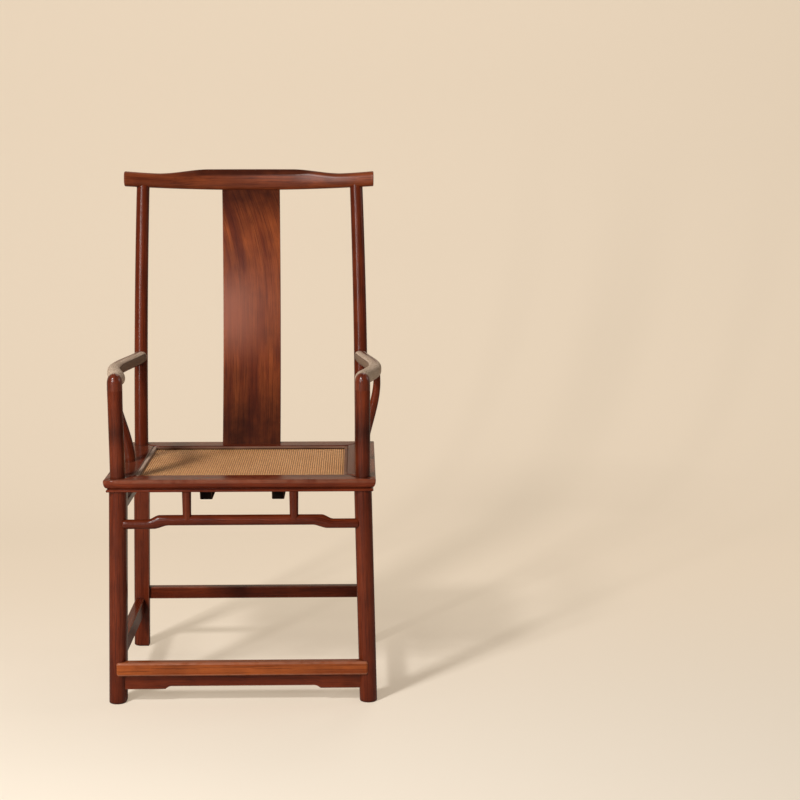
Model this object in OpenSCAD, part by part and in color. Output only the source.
// Yoke-back armchair of joined hardwood with a woven cane seat.
// X runs across the chair, Y from front to back, Z up. The floor is Z = 0.
// The whole chair is centred on its own width and depth.

/* [Seat frame] */
// Width of the seat frame over its moulded edges
seat_w = 580; // [520:1:660]
// Depth of the seat frame over its moulded edges
seat_d = 455; // [420:1:520]
// Height of the top of the seat frame above the floor
seat_h = 498; // [470:1:540]
// Thickness of the four seat rails
rail_t = 28; // [24:0.5:34]
// Width of the left and right seat rails
side_rail_w = 61.5; // [56:0.5:70]
// Width of the front seat rail
front_rail_w = 52; // [50:0.5:62]
// Width of the rear seat rail
rear_rail_w = 56; // [54:0.5:64]
// How far the moulded edge runs in under the top edge
edge_in = 7.5; // [4:0.5:9]
// Diameter of the bead along the foot of the moulded edge
bead_d = 6; // [4:0.5:8]
// Softened radius along the top of the moulded edge
edge_r = 3; // [1:0.5:4]

/* [Woven seat] */
// Width of the four strips that hold the mat down
strip_w = 8; // [6:0.5:10]
// Drop from the top of the rails to the top of the strips
strip_drop = 1.5; // [0.5:0.5:3]
// Drop from the top of the rails to the top of the cane mat
mat_drop = 6.5; // [5:0.5:8]
// Thickness of the cane mat
mat_t = 3; // [2:0.5:4]
// Thickness of the palm weave below the mat
weave_t = 3; // [2:0.5:4]
// Width of the ledge that carries the mat
ledge_w = 16; // [12:0.5:20]

/* [Seat braces] */
// Distance of each cranked brace from the middle of the seat
brace_x = 78; // [50:1:130]
// Width of a cranked brace
brace_w = 27; // [20:1:40]
// Thickness of a cranked brace
brace_t = 22; // [16:1:26]
// How far a brace dips below its ends
brace_sag = 23; // [10:1:50]
// Length over which the underside of a brace drops at each end
brace_heel = 10; // [6:1:20]
// Length over which the top of a brace drops at each end
brace_run = 34; // [24:1:80]

/* [Legs] */
// Diameter of the round side of a front leg
front_leg_d = 38; // [36:0.5:44]
// Diameter of the round side of a rear leg
rear_leg_d = 37.5; // [35:0.5:42]
// Distance from the side of the seat to a front leg at the seat
front_inset_x = 27.5; // [26:0.5:34]
// Distance from the front of the seat to a front leg at the seat
front_inset_y = 28; // [26:0.5:34]
// Distance from the side of the seat to a rear leg at the seat
rear_inset_x = 30; // [26:0.5:36]
// Distance from the back of the seat to a rear leg at the seat
rear_inset_y = 29.5; // [26:0.5:34]
// Sideways splay of a front leg at the floor
front_splay_x = 10.5; // [0:0.5:20]
// Forward splay of a front leg at the floor
front_splay_y = 3; // [0:0.5:8]
// Sideways splay of a rear leg at the floor
rear_splay_x = 13; // [0:0.5:24]
// Backward splay of a rear leg at the floor
rear_splay_y = 29.5; // [0:0.5:40]
// Softened edge round the foot of each leg
foot_soft = 2.5; // [1:0.5:4]

/* [Posts and arms] */
// Radius of a post where it passes through the seat frame
stem_r = 16.2; // [14:0.1:18]
// Radius of a rear post under the crest rail
post_top_r = 15; // [12:0.1:17]
// How far a rear post leans back over its height
back_lean = 62; // [20:1:90]
// How far a rear post draws in sideways over its height
post_draw_in = 10; // [0:0.5:20]
// Radius of a front post under the arm
front_post_r = 16.3; // [14:0.1:18]
// How far a front post swings forward on its way up
front_swing = 8; // [0:0.5:14]
// Height of the middle of an arm where it meets the rear post
arm_h = 705; // [660:1:760]
// Radius of an arm at its rear end
arm_rear_r = 14.5; // [12:0.1:17]
// How far an arm bows outward between its posts
arm_bow = 29.5; // [10:0.5:40]
// How much an arm's section is squared up: 1 is round
arm_square = 0.78; // [0.7:0.02:1]
// How far an arm dips between its posts
arm_dip = 4; // [0:0.5:12]
// Rise of the front end of an arm over its rear end
arm_rise = 3; // [0:0.5:12]
// Radius of the hollow on the inside of an arm's elbow
elbow_hollow = 4; // [2:0.5:8]
// Depth of an arm brace's foot from the front of the seat
arm_brace_y = 218; // [160:1:280]
// Distance from the side of the seat to the foot of an arm brace
arm_brace_inset = 30; // [20:1:45]
// Outward swing of an arm brace from its foot to its head
arm_brace_swing = 35; // [15:0.5:38]
// Radius of an arm brace at its foot
arm_brace_foot_r = 11.8; // [9:0.1:14]
// Radius of an arm brace at its head
arm_brace_head_r = 7.2; // [5:0.1:9]

/* [Back] */
// Length of the crest rail
crest_len = 581; // [540:1:640]
// Height of the top of the crest rail at its middle
crest_h = 1140.5; // [1060:0.5:1200]
// Height of the crest rail's section at its middle
crest_mid_t = 49.5; // [40:0.5:60]
// Height of the crest rail's section over the posts
crest_end_t = 33.6; // [30:0.2:40]
// Front to back thickness of the crest rail at its middle
crest_mid_d = 25; // [20:0.5:34]
// Half length of the raised pillow in the middle of the crest rail
pillow = 100; // [60:1:130]
// Drop from the pillow to the lowest point of the top edge
crest_drop = 9; // [4:0.5:16]
// Rise of the top edge from its lowest point to the tips
tip_rise = 6; // [0:0.5:12]
// Length of each rising tip of the crest rail
tip_run = 80; // [50:1:100]
// Softened edge round the ends of the crest rail
tip_soft = 2.5; // [1:0.5:5]
// Rise of the underside from the middle to the tips
under_rise = 11; // [4:0.5:20]
// How far the middle of the crest rail lies behind the posts
crest_bow = 45; // [20:1:60]
// Width of the splat
splat_w = 136.5; // [110:0.5:160]
// Thickness of the splat
splat_t = 10; // [8:0.5:14]
// How far the splat curves back from a straight line
splat_sag = 29; // [10:0.5:40]
// How far the foot of the splat stands behind the middle of the rear posts
splat_back = 4; // [0:0.5:8]

/* [Under the seat] */
// Radius of the humpback stretcher at its ends
hump_r = 10.3; // [8:0.1:12]
// Extra radius of the humpback stretcher in its raised middle
hump_swell = 1; // [0:0.1:2]
// Height of the middle of the humpback stretcher at its ends
hump_h = 398; // [370:0.5:410]
// Rise of the humpback stretcher from its ends to its middle
hump_rise = 8.5; // [2:0.5:14]
// Half length of the raised middle of the humpback stretcher
hump_half = 154; // [135:1:185]
// Length of each S-bend of the humpback stretcher
hump_bend = 32; // [20:1:45]
// How far the ends of the humpback stretcher stop short of the middle of the legs
hump_short = 8; // [4:0.5:12]
// How far the humpback stretcher lies in front of the middle of the legs
hump_forward = 9; // [6:0.5:11]
// Distance of each strut from the middle of the chair
strut_x = 114.5; // [80:0.5:125]
// Radius of a strut at its head
strut_r = 9.9; // [7:0.1:12]
// Radius of a strut at its foot
strut_foot_r = 9; // [6:0.1:11]
// How far a strut stands out in front of the humpback stretcher
strut_proud = 0.8; // [0.2:0.1:2]
// How far the tongue of a strut laps down past the middle of the stretcher
strut_lap = 1; // [0:0.5:4]
// Height of the underside of the upper side stretchers
upper_side_h = 423; // [414:1:440]
// Height and width of the upper side and rear stretchers
upper_s = 16; // [12:0.5:20]
// How far the upper side stretchers lie inside the middle line of the legs
upper_in = 6.5; // [0:0.5:9]
// Height of the underside of the upper rear stretcher
upper_rear_h = 392; // [370:1:402]

/* [Lower stretchers] */
// Height of the top of the footrest
footrest_h = 94; // [84:1:110]
// Thickness of the footrest
footrest_t = 30; // [24:0.5:34]
// How far the nose of the footrest stands in front of the legs
footrest_nose = 4; // [1:0.5:5]
// Depth of the footrest from its nose to its back
footrest_d = 24; // [22:0.5:40]
// Softened radius along the nose of the footrest
footrest_edge = 4; // [2:0.5:8]
// Rounded corners at both ends of the footrest
footrest_end = 5; // [2:0.5:9]
// Height of the apron board below the footrest
apron_h = 26.5; // [20:0.5:36]
// Extra drop of the apron board at its ends
apron_drop = 6.5; // [2:0.5:8]
// Distance of each cusp of the apron board from its middle
apron_cusp = 169; // [80:1:220]
// Length over which the apron board drops at each cusp
apron_sweep = 14; // [8:1:30]
// Thickness of the apron board
apron_t = 10; // [8:0.5:12]
// How far the apron board stands behind the nose of the footrest
apron_set = 13; // [6:0.5:14]
// Height of the underside of the side stretchers
side_h = 82; // [70:1:130]
// Height of a side stretcher's section
side_t = 38; // [24:0.5:44]
// How far the side stretchers lie outside the middle line of the legs
side_out = 3; // [0:0.5:5]
// Height of the underside of the rear stretcher
rear_h = 118; // [90:1:160]
// Height of the rear stretcher's section
rear_t = 28.5; // [22:0.5:40]
// Thickness of the side and rear stretchers
stretcher_w = 21; // [16:0.5:24]

/* [Joints] */
// Gap on each side of a tenon in its mortise
fit = 0.1; // [0.05:0.05:0.3]
// Length of the stretchers' tenons
tenon_l = 12; // [8:0.5:14]
// Thickness of the stretchers' tenons
tenon_t = 8; // [6:0.5:9]
// Length of the tenons on top of the posts
post_tenon_l = 16; // [10:0.5:18]
// Radius of the tenons on top of the rear posts
post_tenon_r = 8; // [6:0.5:10]
// Width of the square tenons on top of the front posts
elbow_tenon_w = 14; // [10:0.5:16]
// Radius of the tenons of the arms in the rear posts
arm_tenon_r = 7; // [5:0.5:9]
// Length of the tenons at both ends of an arm brace
brace_tenon_l = 11; // [8:0.5:12]
// Radius of the tenons of the arm braces in the arms
brace_head_tenon_r = 4; // [3:0.5:4.5]
// Width of the square tenons of the arm braces in the seat rails
brace_foot_tenon_w = 12; // [8:0.5:14]
// Radius of the tenons that pass down through the struts
strut_tenon_r = 5; // [3.5:0.5:5.5]
// Thickness of the splat's tongues
tongue_t = 6; // [4:0.5:8]
// Length of the tongues of the splat and the apron board
tongue_l = 8; // [5:0.5:10]
// Shoulder of a wide tongue or tenon on each of its sides
shoulder = 5; // [3:0.5:7]
// Length of the tenons across the mitres of the seat frame
mitre_tenon_l = 44; // [30:1:50]
// Width of the tenons across the mitres of the seat frame
mitre_tenon_w = 10; // [8:0.5:12]
// Height of the tenons across the mitres of the seat frame
mitre_tenon_h = 8; // [6:0.5:9]
// Gap between the soft mat and the wood around it
soft_gap = 0.3; // [0.2:0.1:0.5]

/* [Hidden] */
$fn = 48;

// Colours of the woods and the cane
red_wood = "#6b2a17";
dark_wood = "#3a1710";
worn_wood = "#8f7a60";
cane = "#c69d63";
palm = "#5d4327";

// Lengths that only keep cutting bodies clear of what they cut
over = 5;
far = 2000;

// A post stands this much in from its round stem, and an arm from its elbow
step = 0.2;

// How far a body runs into the one below it, where both are one solid
lap = 2;

// Seat levels and half widths
seat_low = seat_h - rail_t;
half_w = seat_w / 2;
open_x = half_w - side_rail_w;
open_front = front_rail_w;
open_rear = seat_d - rear_rail_w;
ledge_z = seat_h - mat_drop - mat_t - soft_gap;

// Where the posts pass through the seat
front_x = half_w - front_inset_x;
front_y = front_inset_y;
rear_x = half_w - rear_inset_x;
rear_y = seat_d - rear_inset_y;

// Points of the right-hand front and rear legs at the floor and at the seat
front_foot = [front_x + front_splay_x, front_y - front_splay_y, 0];
front_top = [front_x, front_y, seat_low];
rear_foot = [rear_x + rear_splay_x, rear_y + rear_splay_y, 0];
rear_top = [rear_x, rear_y, seat_low];

// Crest rail, an arc in plan through the tops of the rear posts
crest_under = crest_h - crest_mid_t;
post_end_x = rear_x - post_draw_in;
post_end_y = rear_y + back_lean;
crest_mid_y = post_end_y + crest_bow;
crest_r = (pow(post_end_x, 2) + pow(crest_bow, 2)) / (2 * crest_bow);
crest_half = crest_len / 2;
crest_low_x = crest_half - tip_run;
overall_d = crest_mid_y + crest_mid_d / 2;

// Joint of the front post with the arm's elbow
arm_front_y = front_y - front_swing;
arm_front_z = arm_h + arm_rise;
elbow_in = front_post_r + elbow_hollow;
elbow_z = arm_front_z - elbow_in;

function lerp(a, b, t) = a + (b - a) * t;
function smooth(t) = let(u = max(0, min(1, t))) u * u * (3 - 2 * u);
function flat(list) = [for (part = list) each part];

// Height of the crest rail's underside and top edge at x. Its tips curl up faster towards their ends.
tip_curl = 1.4;
function crest_low(x) = crest_under + under_rise * pow(x / crest_half, 2);
function crest_top(x) =
    crest_h - crest_drop * smooth((abs(x) - pillow) / (crest_low_x - pillow))
    + tip_rise * pow(max(0, abs(x) - crest_low_x) / (crest_half - crest_low_x), tip_curl);
function crest_y(x) = crest_mid_y - crest_r + sqrt(pow(crest_r, 2) - x * x);
function crest_slope(x) = -x / sqrt(pow(crest_r, 2) - x * x);
post_end_z = crest_low(post_end_x);
crest_axis_z = (crest_low(post_end_x) + crest_top(post_end_x)) / 2;

// Middle of the right-hand rear post at height z, and its radius there
function post_t(z) = (z - seat_h) / (post_end_z - seat_h);
function rear_post_at(z) = [
    rear_x - post_draw_in * pow(max(0, post_t(z)), 2),
    rear_y + back_lean * post_t(z),
    z
];
function rear_post_r(z) = lerp(stem_r - step, post_top_r, post_t(z));

// Middle of the right-hand front post at height z, and its radius there
function front_post_t(z) = (z - seat_h) / (elbow_z - seat_h);
function front_post_at(z) = [front_x, front_y - front_swing * smooth(front_post_t(z)), z];
function front_post_r_at(z) = lerp(stem_r - step, front_post_r - step, front_post_t(z));

// Middle of the right-hand arm, from the rear post at t = 0 to over the front post at t = 1.
// The bow is widest a little behind the middle and dies out at bow_end.
bow_end = 0.89;
bow_lean = 1.12;
bow_ease = 1.3;
arm_start = rear_post_at(arm_h);
function arm_side(t) = arm_bow * pow(max(0, sin(180 * pow(min(1, t / bow_end), bow_lean))), bow_ease);
function arm_at(t) = [
    lerp(arm_start[0], front_x, t) + arm_side(t),
    lerp(arm_start[1], arm_front_y, t),
    arm_h + arm_rise * t - arm_dip * sin(180 * t)
];
function arm_r(t) = lerp(arm_rear_r, front_post_r - step, t);
arm_turn = 1 - elbow_in / (arm_start[1] - arm_front_y);

// Middle of the right-hand arm brace at the share u of its height. It is upright over its last tenth.
brace_lead = 1.12;
arm_brace_t = (arm_start[1] - arm_brace_y) / (arm_start[1] - arm_front_y);
arm_brace_top = arm_at(arm_brace_t);
arm_brace_foot_x = half_w - arm_brace_inset;
arm_brace_head_x = arm_brace_foot_x + arm_brace_swing;
function arm_brace_at(u) = [
    lerp(arm_brace_foot_x, arm_brace_head_x, smooth(u * brace_lead)),
    arm_brace_y,
    lerp(seat_h, arm_brace_top[2], u)
];
function arm_brace_r(u) = lerp(arm_brace_foot_r, arm_brace_head_r, pow(u, 1.5));

// Underside and top of the humpback stretcher at x. Its top bends further out than its underside.
hump_y = front_y - hump_forward;
hump_lead = 13;
hump_mid_r = hump_r + hump_swell;
hump_mid_z = hump_h + hump_rise;
function hump_share(x) = smooth((hump_half + hump_bend - abs(x)) / hump_bend);
function hump_low(x) = hump_h - hump_r + (hump_rise - hump_swell) * hump_share(x);
function hump_top(x) =
    hump_h + hump_r + (hump_rise + hump_swell)
    * smooth((hump_half + hump_bend + hump_lead - abs(x)) / (hump_bend - hump_lead / 2));
strut_y = hump_y - hump_mid_r - strut_proud + strut_foot_r;

// Centre of a splayed leg at height z
function leg_at(foot, top, z) = lerp(foot, top, z / top[2]);

// A ring of points round c in the plane of the unit vectors u and v.
// Powers under 1 square the ring up.
function ring(c, u, v, ru, rv, n = 16, p = 1) = [
    for (i = [0:n - 1]) let(a = 360 * (i + 0.5) / n)
        c + u * ru * sign(cos(a)) * pow(abs(cos(a)), p) + v * rv * sign(sin(a)) * pow(abs(sin(a)), p)
];

// A closed skin over a row of rings with the same number of points
module skin(rings) {
    n = len(rings[0]);
    m = len(rings);
    caps = [[for (i = [0:n - 1]) i], [for (i = [n - 1:-1:0]) (m - 1) * n + i]];
    sides = [
        for (j = [0:m - 2], i = [0:n - 1]) let(k = (i + 1) % n)
            each [[j * n + i, (j + 1) * n + i, (j + 1) * n + k], [j * n + i, (j + 1) * n + k, j * n + k]]
    ];
    polyhedron(points = flat(rings), faces = concat(caps, sides), convexity = 6);
}

// Moves a chair drawn from the front edge of its seat to its own middle
module centred() translate([0, -overall_d / 2, 0]) children();

// The child on the right, or its mirror image on the left
module on_side(s) mirror([s < 0 ? 1 : 0, 0, 0]) children();

// A block with its middle at c
module block(c, size) translate(c) cube(size, center = true);

// ---- Legs and posts ----

// Section of a leg: round outside, square towards the inside of the chair
module leg_section(d, back) {
    circle(d = d);
    translate([-d / 2, back > 0 ? 0 : -d / 2]) square(d / 2);
}

// Splayed right-hand leg from the floor to the underside of the seat, grown by g
module leg_body(foot, top, d, back, g = 0) {
    run = top - foot;
    length = norm(run);
    tip = -asin(run[1] / length);
    swing = asin(run[0] / length / cos(tip));
    intersection() {
        translate(foot) rotate([tip, swing, 0]) translate([0, 0, -over])
            linear_extrude(length + 2 * over) leg_section(d + 2 * g, back);
        translate([-far / 2, -far / 2, 0]) cube([far, far, top[2]]);
    }
}

module front_leg_body(g = 0) leg_body(front_foot, front_top, front_leg_d, 1, g);
module rear_leg_body(g = 0) leg_body(rear_foot, rear_top, rear_leg_d, -1, g);

// What is planed off round the edge of a leg's foot
module foot_edge(foot, top, d, back) {
    c = leg_at(foot, top, foot_soft);
    low_d = d - 4 * foot_soft;
    difference() {
        block([c[0], c[1], 0], [2 * d, 2 * d, 3 * foot_soft]);
        translate([c[0], c[1], -foot_soft])
            linear_extrude(3 * foot_soft, scale = (d + 2 * foot_soft) / low_d) leg_section(low_d, back);
    }
}

// Both legs of a pair, grown by g, to cut what meets them
module front_legs(g = 0) for (s = [-1, 1]) on_side(s) front_leg_body(g);
module rear_legs(g = 0) for (s = [-1, 1]) on_side(s) rear_leg_body(g);

// The round stem of a post through the seat frame, grown by g
module stem(x, y, g = 0) {
    translate([x, y, seat_low - (g > 0 ? over : 0)])
        cylinder(r = stem_r + g, h = rail_t + (g > 0 ? 2 * over : 0));
}

// Round tenon on top of a rear post, grown by g
module crest_tenon(g = 0) {
    top = rear_post_at(post_end_z);
    translate([top[0], top[1], post_end_z - over])
        cylinder(r = post_tenon_r + g, h = over + post_tenon_l + g);
}

// A rear post from just under the top of the seat to the middle of the crest rail
module rear_post_body() skin([
    for (i = [0:14]) let(z = lerp(seat_h - lap, crest_axis_z, i / 14), r = rear_post_r(z))
        ring(rear_post_at(z), [1, 0, 0], [0, 1, 0], r, r, 20)
]);

// A front post from just under the top of the seat to the elbow of the arm
module front_post_body() skin([
    for (i = [0:10]) let(z = lerp(seat_h - lap, elbow_z, i / 10), r = front_post_r_at(z))
        ring(front_post_at(z), [1, 0, 0], [0, 1, 0], r, r, 20)
]);

// Round tenon of an arm in its rear post, grown by g
module arm_tenon(g = 0) {
    run = arm_at(0.04) - arm_at(0);
    translate(arm_start) rotate([90, 0, atan2(run[0], -run[1])])
        translate([0, 0, -g]) cylinder(r = arm_tenon_r + g, h = 2 * stem_r + g);
}

// Square tenon on top of a front post, grown by g
module elbow_tenon(g = 0) {
    side = elbow_tenon_w + 2 * g;
    long = post_tenon_l + over + g;
    block([front_x, arm_front_y, elbow_z - over + long / 2], [side, side, long]);
}

module rear_leg() color(red_wood) difference() {
    union() {
        rear_leg_body();
        stem(rear_x, rear_y);
        difference() {
            rear_post_body();
            crest_body();
        }
        crest_tenon();
    }
    foot_edge(rear_foot, rear_top, rear_leg_d, -1);
    arm_tenon(fit);
    lower_side_tenons(fit);
    upper_side_tenons(fit);
    lower_rear_tenons(fit);
    upper_rear_tenons(fit);
}

module front_leg() color(red_wood) difference() {
    union() {
        front_leg_body();
        stem(front_x, front_y);
        front_post_body();
        elbow_tenon();
    }
    foot_edge(front_foot, front_top, front_leg_d, 1);
    lower_side_tenons(fit);
    upper_side_tenons(fit);
    hump_tenons(fit);
    footrest_tenons(fit);
    apron_tongue(fit);
}

// ---- Arms ----

// A ring of the arm's squared-up section, which turns round before the elbow
round_from = 0.8 * arm_turn;
round_over = 0.15 * arm_turn;
function arm_ring(t) = let(
    run = arm_at(t + 0.01) - arm_at(t - 0.01),
    across = [-run[1], run[0], 0] / norm([run[0], run[1]]),
    r = arm_r(t)
) ring(arm_at(t), across, [0, 0, 1], r, r, 20, lerp(arm_square, 1, smooth((t - round_from) / round_over)));

// How far the elbow reaches from the inside of its bend at the angle a from upright:
// to the flat top, to the round dome or to the front of the post
elbow_pivot = [front_x, arm_front_y + elbow_in, elbow_z];
elbow_full = elbow_in + front_post_r;
dome_a = atan(elbow_in / elbow_full);
function dome_reach(a) = let(b = elbow_in * (sin(a) + cos(a)))
    b + sqrt(b * b - 2 * pow(elbow_in, 2) + pow(front_post_r, 2));
function elbow_reach(a) =
    a < dome_a ? elbow_full / cos(a) : a < 90 - dome_a ? dome_reach(a) : elbow_full / sin(a);

// A ring of the elbow. Its rings turn about the inside of the bend like the leaves of a fan.
function elbow_ring(a) = let(
    ray = [0, -sin(a), cos(a)],
    reach = elbow_reach(a),
    mid = elbow_pivot + ray * (reach + elbow_hollow) / 2
) ring(mid, [1, 0, 0], ray, front_post_r, (reach - elbow_hollow) / 2, 20);

module arm_body() {
    leaves = 12;
    skin(concat(
        [for (i = [0:24]) arm_ring(arm_turn * i / 24)],
        [for (i = [1:leaves]) elbow_ring(90 * i / leaves)]
    ));
}

// Round tenon of an arm brace in its arm, grown by g
module arm_brace_head(g = 0) {
    top = arm_brace_at(1);
    under = top[2] - arm_r(arm_brace_t);
    translate([lerp(top[0], arm_brace_top[0], 0.5), top[1], under - over])
        cylinder(r = brace_head_tenon_r + g, h = over + brace_tenon_l + g);
}

module arm() color(worn_wood) difference() {
    union() {
        difference() {
            arm_body();
            rear_post_body();
        }
        arm_tenon();
    }
    elbow_tenon(fit);
    arm_brace_head(fit);
}

// ---- Arm braces ----

// Square tenon of an arm brace in its seat rail, grown by g
module arm_brace_foot(g = 0) {
    side = brace_foot_tenon_w + 2 * g;
    long = brace_tenon_l + over + g;
    block([arm_brace_foot_x, arm_brace_y, seat_h + over - long / 2], [side, side, long]);
}

module arm_brace() color(red_wood) {
    difference() {
        skin([for (i = [0:14]) let(u = i / 14)
            ring(arm_brace_at(u), [1, 0, 0], [0, 1, 0], arm_brace_r(u), arm_brace_r(u), 16)]);
        arm_body();
    }
    arm_brace_foot();
    arm_brace_head();
}

// ---- Back ----

function crest_depth(x) = lerp(crest_mid_d, crest_end_t, smooth((abs(x) - pillow) / (crest_low_x - pillow)));
function crest_ring(x, soft) = let(
    mid = (crest_low(x) + crest_top(x)) / 2,
    tall = (crest_top(x) - crest_low(x)) / 2,
    deep = crest_depth(x) / 2 * norm([crest_slope(x), 1])
) ring([x, crest_y(x), mid], [0, 1, 0], [0, 0, 1], deep - soft, tall - soft, 20, 0.8);

// The splat's lower and upper tongues, grown by g to cut their grooves
splat_y = crest_mid_y;
splat_foot_y = rear_y + splat_back;
module splat_tongues(g = 0) {
    size = [splat_w - 2 * shoulder + 2 * g, tongue_t + 2 * g, 2 * tongue_l + 2 * g];
    block([0, splat_y, crest_under], size);
    block([0, splat_foot_y, seat_h], size);
}

// The crest rail before its mortises are cut. Its tips are sawn square, and their edges rounded
// by a quarter circle of rings.
module crest_body() {
    turns = [for (a = [0, 30, 60]) [crest_half - tip_soft * (1 - cos(a)), tip_soft * (1 - sin(a))]];
    skin(concat(
        [for (turn = turns) crest_ring(-turn[0], turn[1])],
        [for (i = [-20:20]) crest_ring((crest_half - tip_soft) * i / 20, 0)],
        [for (i = [2:-1:0]) crest_ring(turns[i][0], turns[i][1])]
    ));
}

module crest_rail() color(red_wood) difference() {
    crest_body();
    for (s = [-1, 1]) on_side(s) crest_tenon(fit);
    splat_tongues(fit);
}

// The splat is one board bent to an arc between the seat and the crest rail
module back_splat() color(red_wood) {
    rise = crest_under - seat_h;
    reach = splat_y - splat_foot_y;
    chord = norm([rise, reach]);
    radius = pow(chord, 2) / (8 * splat_sag) + splat_sag / 2;
    tilt = atan(reach / rise);
    half_angle = asin(chord / 2 / radius);
    difference() {
        translate([0, splat_foot_y, seat_h]) rotate([-tilt, 0, 0]) translate([0, splat_sag - radius, chord / 2])
            rotate([0, 90, 0]) rotate([0, 0, 90 - half_angle - 1])
                rotate_extrude(angle = 2 * half_angle + 2, $fn = 360)
                    translate([radius - splat_t / 2, -splat_w / 2]) square([splat_t, splat_w]);
        block([0, splat_foot_y, seat_h - far / 2], [far, far, far]);
        block([0, splat_y, crest_under + far / 2], [far, far, far]);
    }
    splat_tongues();
}

// ---- Seat ----

// Section of a seat rail of width w: X runs in from the moulded edge, Y is height.
// Over the bead lies a short upright fillet, and the bead stands out in front of it.
module rail_section(w) {
    fillet = 3;
    bead_out = 2.5;
    bead_r = bead_d / 2;
    bead_x = edge_in - bead_out + bead_r;
    cove_z = seat_low + bead_d + fillet;
    top_z = seat_h - edge_r;
    edge = concat(
        [for (a = [90:15:180]) [edge_r + edge_r * cos(a), top_z + edge_r * sin(a)]],
        [for (i = [1:6]) let(t = i / 6) [edge_in * (1 - cos(90 * t)), lerp(top_z, cove_z, sin(90 * t))]],
        [[edge_in, seat_low + bead_d]],
        [for (a = [90:30:270]) [bead_x + bead_r * cos(a), seat_low + bead_r + bead_r * sin(a)]]
    );
    polygon(concat(edge, [
        [w + ledge_w, seat_low],
        [w + ledge_w, ledge_z],
        [w, ledge_z],
        [w, seat_h]
    ]));
}

// Plans of the rails between their mitres, carried on inwards past the ledge
function opposite(p) = [-p[0], p[1]];
inwards = ledge_w + over;
front_mitre = [open_x - inwards, open_front + inwards * front_rail_w / side_rail_w];
rear_mitre = [open_x - inwards, open_rear - inwards * rear_rail_w / side_rail_w];
front_plan = [[-half_w, 0], [half_w, 0], front_mitre, opposite(front_mitre)];
rear_plan = [[-half_w, seat_d], opposite(rear_mitre), rear_mitre, [half_w, seat_d]];
side_plan = [[half_w, 0], [half_w, seat_d], rear_mitre, front_mitre];
module mitred(plan) intersection() {
    children();
    translate([0, 0, seat_low - over]) linear_extrude(rail_t + 2 * over) polygon(plan);
}

// Tenons at both ends of the front or rear rail, centred on the depth y, grown by g
mitre_tenon_x = open_x + 6;
front_tenon_y = open_front + 1;
rear_tenon_y = open_rear - 1;
module mitre_tenons(y, g = 0) for (s = [-1, 1])
    block([s * mitre_tenon_x, y, (seat_low + ledge_z) / 2],
        [mitre_tenon_l + 2 * g, mitre_tenon_w + 2 * g, mitre_tenon_h + 2 * g]);

// The four posts where they pass through the seat frame
module post_holes() for (s = [-1, 1]) on_side(s) {
    stem(front_x, front_y, fit);
    stem(rear_x, rear_y, fit);
}

module front_rail_body() mitred(front_plan)
    rotate([90, 0, 90]) translate([0, 0, -half_w]) linear_extrude(seat_w) rail_section(front_rail_w);

module rear_rail_body() mitred(rear_plan)
    translate([0, seat_d, 0]) rotate([90, 0, -90]) translate([0, 0, -half_w])
        linear_extrude(seat_w) rail_section(rear_rail_w);

module side_rail_body() mitred(side_plan)
    translate([half_w, 0, 0]) rotate([90, 0, 180]) linear_extrude(seat_d) rail_section(side_rail_w);

module seat_front_rail() color(red_wood) difference() {
    union() {
        front_rail_body();
        mitre_tenons(front_tenon_y);
    }
    post_holes();
    for (s = [-1, 1]) on_side(s) seat_brace_tenons(fit);
    for (s = [-1, 1]) on_side(s) strut_tenon(fit);
}

module seat_rear_rail() color(red_wood) difference() {
    union() {
        rear_rail_body();
        mitre_tenons(rear_tenon_y);
    }
    post_holes();
    for (s = [-1, 1]) on_side(s) seat_brace_tenons(fit);
    splat_tongues(fit);
}

module seat_side_rail() color(red_wood) difference() {
    side_rail_body();
    mitre_tenons(front_tenon_y, fit);
    mitre_tenons(rear_tenon_y, fit);
    post_holes();
    arm_brace_foot(fit);
}

// Strips over the edges of the mat, mitred at the corners
strip_low = seat_h - mat_drop + soft_gap;
strip_t = mat_drop - strip_drop - soft_gap;
front_corner = [open_x, open_front];
rear_corner_in = [open_x, open_rear];
strip_front = front_corner + [-strip_w, strip_w];
strip_rear = rear_corner_in - [strip_w, strip_w];
front_strip_plan = [opposite(front_corner), front_corner, strip_front, opposite(strip_front)];
rear_strip_plan = [opposite(rear_corner_in), rear_corner_in, strip_rear, opposite(strip_rear)];
side_strip_plan = [front_corner, rear_corner_in, strip_rear, strip_front];
module strip(plan) color(worn_wood) translate([0, 0, strip_low]) linear_extrude(strip_t) polygon(plan);

module cane_mat() color(cane) {
    size = [2 * (open_x - soft_gap), open_rear - open_front - 2 * soft_gap, mat_t];
    block([0, (open_front + open_rear) / 2, ledge_z + soft_gap + mat_t / 2], size);
}

module palm_weave() color(palm) {
    inset = ledge_w + soft_gap;
    size = [2 * (open_x - inset), open_rear - open_front - 2 * inset, weave_t];
    block([0, (open_front + open_rear) / 2, ledge_z - weave_t / 2], size);
}

// Cranked braces from the front rail to the rear rail. They dip to leave the mat room to give.
brace_gap = 1;
brace_front = open_front + ledge_w;
brace_rear = open_rear - ledge_w;
brace_top = ledge_z - weave_t - soft_gap - brace_gap;
function brace_dip(y, run) = brace_sag * smooth(min(y - brace_front, brace_rear - y) / run);

// Tenons of the right-hand brace, grown by g
module seat_brace_tenons(g = 0) for (y = [brace_front, brace_rear])
    block([brace_x, y, seat_low + tenon_t],
        [brace_w - 2 * shoulder + 2 * g, 2 * tenon_l + 2 * g, tenon_t + 2 * g]);

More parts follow.
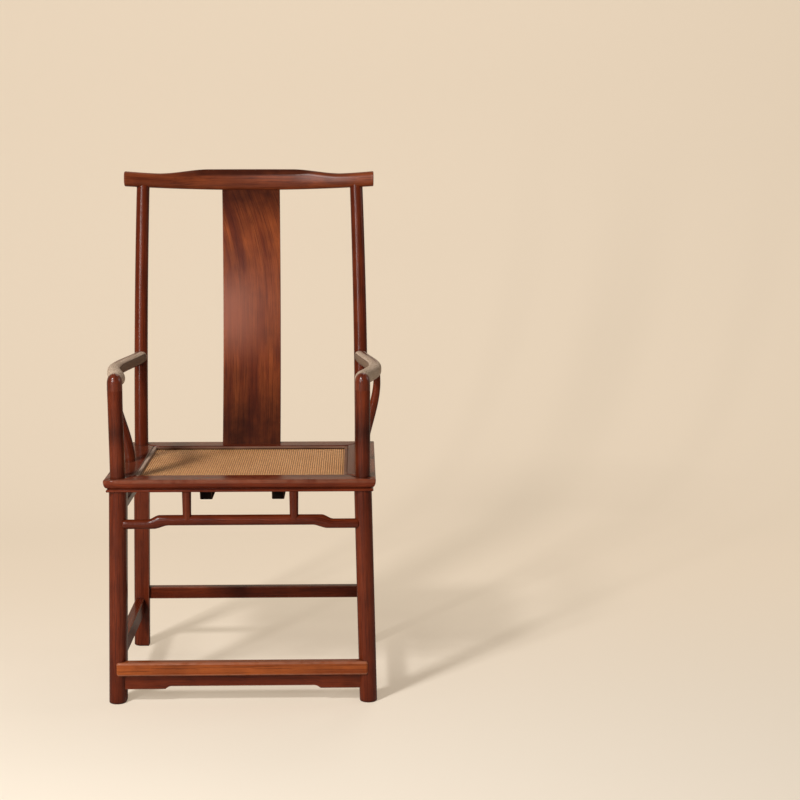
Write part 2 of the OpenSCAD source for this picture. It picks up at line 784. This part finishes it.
module seat_brace() color(dark_wood) {
    steps = 8;
    shares = [for (i = [0:steps]) i / steps];
    top = [for (t = shares) t * brace_run];
    low = [for (t = shares) t * brace_heel];
    outline = concat(
        [for (d = top) [brace_front + d, brace_top - brace_dip(brace_front + d, brace_run)]],
        [for (i = [steps:-1:0]) [brace_rear - top[i], brace_top - brace_dip(brace_rear - top[i], brace_run)]],
        [for (d = low) [brace_rear - d, brace_top - brace_t - brace_dip(brace_rear - d, brace_heel)]],
        [for (i = [steps:-1:0])
            [brace_front + low[i], brace_top - brace_t - brace_dip(brace_front + low[i], brace_heel)]]
    );
    translate([brace_x - brace_w / 2, 0, 0]) rotate([90, 0, 90]) linear_extrude(brace_w) polygon(outline);
    seat_brace_tenons();
}

// ---- Under the seat ----

function hump_ring(x, k) = let(
    mid = (hump_top(x) + hump_low(x)) / 2,
    tall = (hump_top(x) - hump_low(x)) / 2
) ring([x, hump_y, mid], [0, 1, 0], [0, 0, 1], lerp(hump_r, hump_mid_r, hump_share(x)) * k, tall * k, 20);

// The humpback stretcher before it is cut to the legs. Its rounded ends lie over their fronts.
module hump_body() {
    reach = front_x - hump_short;
    round_end = 6;
    bends = [for (i = [0:9]) hump_half + (hump_bend + hump_lead) * i / 9];
    tip = [[reach - round_end, 1], [reach - round_end / 3, 0.8], [reach, 0.5]];
    half = concat([[0, 1]], [for (x = bends) [x, 1]], tip);
    rows = concat([for (i = [len(half) - 1:-1:1]) [-half[i][0], half[i][1]]], half);
    skin([for (row = rows) hump_ring(row[0], row[1])]);
}

// Tenons at both ends of the humpback stretcher, grown by g. They lie nearer the middle of the legs.
hump_tenon_y = hump_y + 3;
hump_tenon_h = 11;
module hump_tenons(g = 0) for (s = [-1, 1])
    block([s * (leg_at(front_foot, front_top, hump_h)[0] - front_leg_d / 2), hump_tenon_y, hump_h],
        [2 * tenon_l + 2 * g, tenon_t + 2 * g, hump_tenon_h + 2 * g]);

// Round tenon through the right-hand strut, grown by g
module strut_tenon(g = 0) translate([strut_x, strut_y, hump_mid_z - g])
    cylinder(r = strut_tenon_r + g, h = seat_low + tenon_l - hump_mid_z + 2 * g);

module humpback_stretcher() color(red_wood) difference() {
    union() {
        difference() {
            hump_body();
            front_legs();
        }
        hump_tenons();
    }
    for (s = [-1, 1]) on_side(s) strut_tenon(fit);
}

// A strut's lower end is cut over the round of the stretcher and laps its front
module strut() color(red_wood) {
    low = hump_mid_z - strut_lap;
    difference() {
        translate([strut_x, strut_y, low]) cylinder(r1 = strut_foot_r, r2 = strut_r, h = seat_low - low);
        translate([0, hump_y, hump_mid_z]) rotate([0, 90, 0]) cylinder(r = hump_mid_r, h = hump_half);
    }
    strut_tenon();
}

// A bar with softened long edges between two points, w wide and t high
module bar(a, b, w, t, r = 3) {
    run = b - a;
    translate(a) rotate([90, 0, atan2(run[0], -run[1])]) linear_extrude(norm(run)) {
        translate([-w / 2 + r, -t / 2]) square([w - 2 * r, t]);
        translate([-w / 2, -t / 2 + r]) square([w, t - 2 * r]);
        for (x = [-1, 1], y = [-1, 1]) translate([x * (w / 2 - r), y * (t / 2 - r)]) circle(r);
    }
}

// Ends of the middle line of a side bar at height z, out from the middle line of the legs
function side_front(z, out) = leg_at(front_foot, front_top, z) + [out, 0, 0];
function side_rear(z, out) = leg_at(rear_foot, rear_top, z) + [out, 0, 0];
function rear_corner(z) = leg_at(rear_foot, rear_top, z);

// Tenons at both ends of a side bar at height z, grown by g
module side_tenons(z, out, tall, g = 0) {
    size = [tenon_t + 2 * g, 2 * tenon_l + 2 * g, tall + 2 * g];
    block(side_front(z, out) + [0, front_leg_d / 2, 0], size);
    block(side_rear(z, out) - [0, rear_leg_d / 2, 0], size);
}

// Tenons at both ends of a rear bar at height z, grown by g
module rear_tenons(z, tall, g = 0) {
    c = rear_corner(z);
    for (s = [-1, 1])
        block([s * (c[0] - rear_leg_d / 2), c[1], z], [2 * tenon_l + 2 * g, tenon_t + 2 * g, tall + 2 * g]);
}

side_mid = side_h + side_t / 2;
upper_mid = upper_side_h + upper_s / 2;
rear_mid = rear_h + rear_t / 2;
upper_rear_mid = upper_rear_h + upper_s / 2;
slim = 3;

module lower_side_tenons(g = 0) side_tenons(side_mid, side_out, side_t - 2 * shoulder, g);
module upper_side_tenons(g = 0) side_tenons(upper_mid, -upper_in, upper_s - 2 * slim, g);
module lower_rear_tenons(g = 0) rear_tenons(rear_mid, rear_t - 2 * shoulder, g);
module upper_rear_tenons(g = 0) rear_tenons(upper_rear_mid, upper_s - 2 * slim, g);

// A side bar cut to the legs it stands between, without its tenons
module side_bar(z, w, t, out) difference() {
    bar(side_rear(z, out), side_front(z, out), w, t);
    front_leg_body();
    rear_leg_body();
}

module side_stretcher() color(red_wood) {
    side_bar(side_mid, stretcher_w, side_t, side_out);
    lower_side_tenons();
}

module upper_stretcher() color(red_wood) {
    side_bar(upper_mid, upper_s, upper_s, -upper_in);
    upper_side_tenons();
}

module rear_bar(z, w, t) difference() {
    bar(rear_corner(z), [-rear_corner(z)[0], rear_corner(z)[1], z], w, t);
    rear_legs();
}

module rear_stretcher() color(red_wood) {
    rear_bar(rear_mid, stretcher_w, rear_t);
    lower_rear_tenons();
}

module rear_upper_stretcher() color(red_wood) {
    rear_bar(upper_rear_mid, upper_s, upper_s);
    upper_rear_tenons();
}

// ---- Footrest ----

footrest_mid = footrest_h - footrest_t / 2;
foot_leg = leg_at(front_foot, front_top, footrest_mid);
footrest_front = foot_leg[1] - front_leg_d / 2 - footrest_nose;
apron_y = footrest_front + apron_set + apron_t / 2;
apron_low = footrest_h - footrest_t - apron_h;

// Tenons at both ends of the footrest, grown by g, just inside its back
footrest_tenon_y = foot_leg[1] - tenon_t / 2 - 1;
module footrest_tenons(g = 0) for (s = [-1, 1])
    block([s * (foot_leg[0] - front_leg_d / 2), footrest_tenon_y, footrest_mid],
        [2 * tenon_l + 2 * g, tenon_t + 2 * g, footrest_t - 3 * shoulder + 2 * g]);

module footrest_section() {
    r = footrest_edge;
    translate([footrest_front, footrest_h - footrest_t]) {
        translate([r, 0]) square([footrest_d - r, footrest_t]);
        translate([0, r]) square([r, footrest_t - 2 * r]);
        for (z = [r, footrest_t - r]) translate([r, z]) circle(r);
    }
}

// The footrest's rounded ends lie over the fronts of the legs, just past their middles
module footrest_board() intersection() {
    half = foot_leg[0] + 1;
    rotate([90, 0, 90]) translate([0, 0, -half]) linear_extrude(2 * half) footrest_section();
    bar([0, footrest_front + footrest_d, footrest_mid], [0, footrest_front, footrest_mid],
        2 * half, footrest_t, footrest_end);
}

module footrest() color(red_wood) difference() {
    union() {
        difference() {
            footrest_board();
            front_legs();
            for (s = [-1, 1])
                block([s * foot_leg[0], foot_leg[1] + footrest_d, footrest_mid],
                    [front_leg_d, 2 * footrest_d, 2 * footrest_t]);
        }
        footrest_tenons();
    }
    apron_tongue(fit);
}

// Edge tongue of the apron board in the footrest and in the legs, grown by g
module apron_tongue(g = 0) {
    tall = apron_h + shoulder;
    half = foot_leg[0] - front_leg_d / 2 + tongue_l + g;
    block([0, apron_y, apron_low + tall / 2], [2 * half, apron_t / 2 + 2 * g, tall + 2 * g]);
}

// The apron's lower edge drops at a cusp near each end
module footrest_apron() color(red_wood) {
    half = foot_leg[0];
    cusp = concat(
        [[apron_cusp - apron_sweep, 0]],
        [for (i = [1:6]) [apron_cusp - apron_sweep * (1 - i / 6), -apron_drop * (1 - cos(15 * i))]],
        [[half, -apron_drop], [half, apron_h]]
    );
    outline = concat(cusp, [for (i = [len(cusp) - 1:-1:0]) [-cusp[i][0], cusp[i][1]]]);
    difference() {
        translate([0, apron_y + apron_t / 2, apron_low]) rotate([90, 0, 0])
            linear_extrude(apron_t) polygon(outline);
        front_legs();
    }
    apron_tongue();
}

centred() crest_rail();
centred() back_splat();
centred() on_side(-1) rear_leg();  // left_rear_leg
centred() rear_leg();  // right_rear_leg
centred() on_side(-1) front_leg();  // left_front_leg
centred() front_leg();  // right_front_leg
centred() on_side(-1) arm();  // left_arm
centred() arm();  // right_arm
centred() on_side(-1) arm_brace();  // left_arm_brace
centred() arm_brace();  // right_arm_brace
centred() seat_front_rail();
centred() seat_rear_rail();
centred() on_side(-1) seat_side_rail();  // seat_left_rail
centred() seat_side_rail();  // seat_right_rail
centred() strip(front_strip_plan);  // front_strip
centred() strip(rear_strip_plan);  // rear_strip
centred() on_side(-1) strip(side_strip_plan);  // left_strip
centred() strip(side_strip_plan);  // right_strip
centred() cane_mat();
centred() palm_weave();
centred() on_side(-1) seat_brace();  // left_seat_brace
centred() seat_brace();  // right_seat_brace
centred() humpback_stretcher();
centred() on_side(-1) strut();  // left_strut
centred() strut();  // right_strut
centred() on_side(-1) upper_stretcher();  // left_upper_stretcher
centred() upper_stretcher();  // right_upper_stretcher
centred() rear_upper_stretcher();
centred() footrest();
centred() footrest_apron();
centred() on_side(-1) side_stretcher();  // left_side_stretcher
centred() side_stretcher();  // right_side_stretcher
centred() rear_stretcher();
